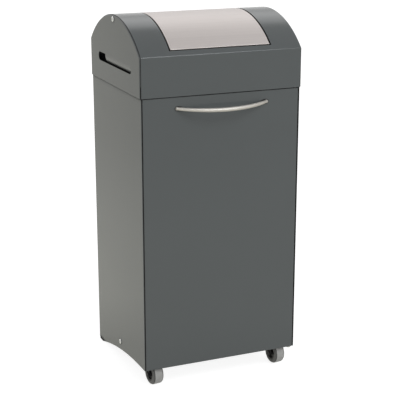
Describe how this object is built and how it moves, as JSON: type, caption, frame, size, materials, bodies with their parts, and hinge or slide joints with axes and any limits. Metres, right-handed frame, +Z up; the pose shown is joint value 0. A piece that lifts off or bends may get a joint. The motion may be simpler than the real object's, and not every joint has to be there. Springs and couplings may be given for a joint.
{
  "type": "recycling bin",
  "caption": "Tall sheet-metal recycling bin with a curved lift-off hood, swing flap, front door with bow handle, front swivel casters and rear feet.",
  "frame": {"origin": "on the floor, under the middle of the whole bin including its handle", "axes": "+Z up, front with the door towards -Y, +X to the right of a viewer facing the door"},
  "size_m": [0.4856, 0.4708, 1.05],
  "materials": {
    "body_paint": "semi-gloss powder coat, anthracite grey",
    "inner_paint": "powder coat, anthracite grey",
    "flap_steel": "satin stainless",
    "handle_steel": "satin nickel",
    "screw_steel": "bright zinc",
    "galvanised": "galvanised",
    "zinc_steel": "zinc plated",
    "fork_black": "black coat",
    "hub_plastic": "moulded",
    "tyre_rubber": "grey, smooth",
    "bush_plastic": "natural nylon",
    "dark_plastic": "moulded",
    "buffer_rubber": "soft"
  },
  "bodies": {
    "cabinet": {"left_side_panel": "body_paint", "right_side_panel": "body_paint", "left_rear_glide": "dark_plastic", "right_rear_glide": "dark_plastic", "back_panel": "body_paint", "base_pan": "inner_paint", "top_front_rail": "inner_paint", "door_stop_strip": "inner_paint", "door_buffers": "buffer_rubber", "side_screws": "screw_steel", "container_walls": "galvanised", "container_floor": "galvanised", "magnet_catch": "dark_plastic", "upper_hinge_pin": "zinc_steel", "lower_hinge_pin": "zinc_steel", "lower_hinge_bracket": "zinc_steel", "caster_bolts": "screw_steel", "caster_nuts": "screw_steel", "left_caster_plate": "zinc_steel", "right_caster_plate": "zinc_steel", "left_caster_kingpin": "zinc_steel", "right_caster_kingpin": "zinc_steel", "left_swivel_bearing": "zinc_steel", "right_swivel_bearing": "zinc_steel"},
    "door": {"door_panel": "body_paint", "door_stiffener": "inner_paint", "door_handle": "handle_steel", "handle_screws": "screw_steel", "strike_plate": "zinc_steel", "upper_hinge_bush": "bush_plastic", "lower_hinge_bush": "bush_plastic"},
    "hood": {"hood_shell": "body_paint", "left_hood_end": "body_paint", "right_hood_end": "body_paint", "left_hood_rest": "inner_paint", "right_hood_rest": "inner_paint", "flap_axle": "zinc_steel", "axle_screws": "screw_steel", "left_axle_spacer": "bush_plastic", "right_axle_spacer": "bush_plastic"},
    "flap": {"flap_panel": "flap_steel", "left_flap_ear": "zinc_steel", "right_flap_ear": "zinc_steel", "left_flap_bush": "bush_plastic", "right_flap_bush": "bush_plastic"},
    "left_caster": {"left_caster_fork": "fork_black", "left_wheel_axle": "fork_black"},
    "left_wheel": {"left_wheel_hub": "hub_plastic", "left_wheel_tyre": "tyre_rubber"},
    "right_caster": {"right_caster_fork": "fork_black", "right_wheel_axle": "fork_black"},
    "right_wheel": {"right_wheel_hub": "hub_plastic", "right_wheel_tyre": "tyre_rubber"}
  },
  "joints": [
    {"name": "hood_lift", "type": "slide", "parent": "cabinet", "child": "hood", "axis": [0, 0, 1], "range_m": [0, 0.25]},
    {"name": "flap_swing", "type": "hinge", "parent": "hood", "child": "flap", "pos_m": [0, 0.0204, 1.038], "axis": [1, 0, 0], "range_deg": [-60, 60]},
    {"name": "door_swing", "type": "hinge", "parent": "cabinet", "child": "door", "pos_m": [0.2245, -0.1846, 0.45], "axis": [0, 0, 1], "range_deg": [0, 110]},
    {"name": "left_caster_swivel", "type": "hinge", "parent": "cabinet", "child": "left_caster", "pos_m": [-0.195, -0.1356, 0.07], "axis": [0, 0, 1], "continuous": true},
    {"name": "left_wheel_spin", "type": "hinge", "parent": "left_caster", "child": "left_wheel", "pos_m": [-0.19343, -0.15052, 0.0325], "axis": [0.9945, 0.1045, 0], "continuous": true},
    {"name": "right_caster_swivel", "type": "hinge", "parent": "cabinet", "child": "right_caster", "pos_m": [0.195, -0.1356, 0.07], "axis": [0, 0, 1], "continuous": true},
    {"name": "right_wheel_spin", "type": "hinge", "parent": "right_caster", "child": "right_wheel", "pos_m": [0.19657, -0.15052, 0.0325], "axis": [0.9945, 0.1045, 0], "continuous": true}
  ]
}
